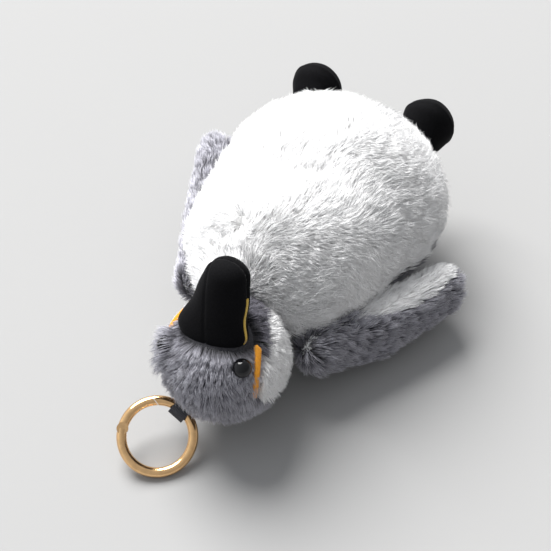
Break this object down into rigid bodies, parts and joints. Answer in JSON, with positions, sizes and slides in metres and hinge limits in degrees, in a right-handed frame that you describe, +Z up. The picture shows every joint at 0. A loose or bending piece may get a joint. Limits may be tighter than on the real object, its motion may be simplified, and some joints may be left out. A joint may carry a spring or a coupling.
{
  "type": "plush keychain",
  "caption": "Long-pile plush penguin lying on its back, with stuffed beak, flippers and feet, and a spring-gate ring on a ribbon loop at its crown.",
  "frame": {"origin": "under the middle of the whole outline, on the surface that the penguin lies on", "axes": "+Z up out of the belly, +Y from crown to feet, +X to the penguin's right side"},
  "size_m": [0.1148, 0.1715, 0.0717],
  "materials": {
    "plush_grey": "long pile",
    "plush_white": "long pile",
    "velboa_black": "short pile",
    "felt_orange": "soft",
    "piping_yellow": "soft",
    "fibre_fill": "loose fibre",
    "eye_black": "polished",
    "washer_white": "moulded",
    "ring_gold": "polished",
    "spring_steel": "drawn",
    "ribbon_grey": "grosgrain"
  },
  "bodies": {
    "torso": {"back_panel": "plush_grey", "belly_panel": "plush_white", "body_stuffing": "fibre_fill"},
    "head": {"head_skin": "plush_grey", "head_stuffing": "fibre_fill", "cheek_right": "plush_white", "cheek_left": "plush_white", "trim_right": "felt_orange", "trim_left": "felt_orange", "beak_upper": "velboa_black", "beak_lower": "velboa_black", "beak_stuffing": "fibre_fill", "beak_stripe_right": "piping_yellow", "beak_stripe_left": "piping_yellow", "eye_right": "eye_black", "eye_left": "eye_black", "eye_washer_right": "washer_white", "eye_washer_left": "washer_white", "ribbon_tail": "ribbon_grey"},
    "loop": {"ribbon_loop": "ribbon_grey"},
    "ring": {"ring_body": "ring_gold", "gate_pin": "ring_gold"},
    "gate": {"ring_gate": "ring_gold", "gate_spring": "spring_steel"},
    "flipper_right": {"flipper_right_outer": "plush_grey", "flipper_right_inner": "plush_white", "flipper_right_stuffing": "fibre_fill"},
    "flipper_left": {"flipper_left_outer": "plush_grey", "flipper_left_inner": "plush_white", "flipper_left_stuffing": "fibre_fill"},
    "foot_right": {"foot_right_top": "velboa_black", "foot_right_sole": "velboa_black", "foot_right_stuffing": "fibre_fill"},
    "foot_left": {"foot_left_top": "velboa_black", "foot_left_sole": "velboa_black", "foot_left_stuffing": "fibre_fill"}
  },
  "joints": [
    {"name": "neck_nod", "type": "hinge", "parent": "torso", "child": "head", "pos_m": [-0.0025, -0.0457, 0.0295], "axis": [1, 0, 0], "range_deg": [-15, 0], "stiffness_Nm_per_rad": 0.05},
    {"name": "loop_swing", "type": "hinge", "parent": "head", "child": "loop", "pos_m": [-0.00948, -0.05784, 0.0164], "axis": [-0.9032, 0.121, 0.4118], "range_deg": [0, 30]},
    {"name": "ring_turn", "type": "hinge", "parent": "loop", "child": "ring", "pos_m": [-0.0152, -0.0729, 0.00829], "axis": [0.3335, -0.4061, 0.8508], "range_deg": [-25, 195]},
    {"name": "gate_hinge", "type": "hinge", "parent": "ring", "child": "gate", "pos_m": [-0.0265, -0.07691, 0.0108], "axis": [-0.3335, 0.4061, -0.8508], "range_deg": [0, 26], "stiffness_Nm_per_rad": 0.004, "springref_deg": -85.94},
    {"name": "flipper_right_flap", "type": "hinge", "parent": "torso", "child": "flipper_right", "pos_m": [0.021, -0.0247, 0.0215], "axis": [0, 0, -1], "range_deg": [0, 40], "stiffness_Nm_per_rad": 0.01},
    {"name": "flipper_left_flap", "type": "hinge", "parent": "torso", "child": "flipper_left", "pos_m": [-0.031, -0.0177, 0.023], "axis": [0, 0, 1], "range_deg": [0, 40], "stiffness_Nm_per_rad": 0.01},
    {"name": "foot_right_wag", "type": "hinge", "parent": "torso", "child": "foot_right", "pos_m": [0.018, 0.0703, 0.039], "axis": [1, 0, 0], "range_deg": [-12, 12], "stiffness_Nm_per_rad": 0.01},
    {"name": "foot_left_wag", "type": "hinge", "parent": "torso", "child": "foot_left", "pos_m": [-0.026, 0.0703, 0.039], "axis": [1, 0, 0], "range_deg": [-12, 12], "stiffness_Nm_per_rad": 0.01}
  ]
}
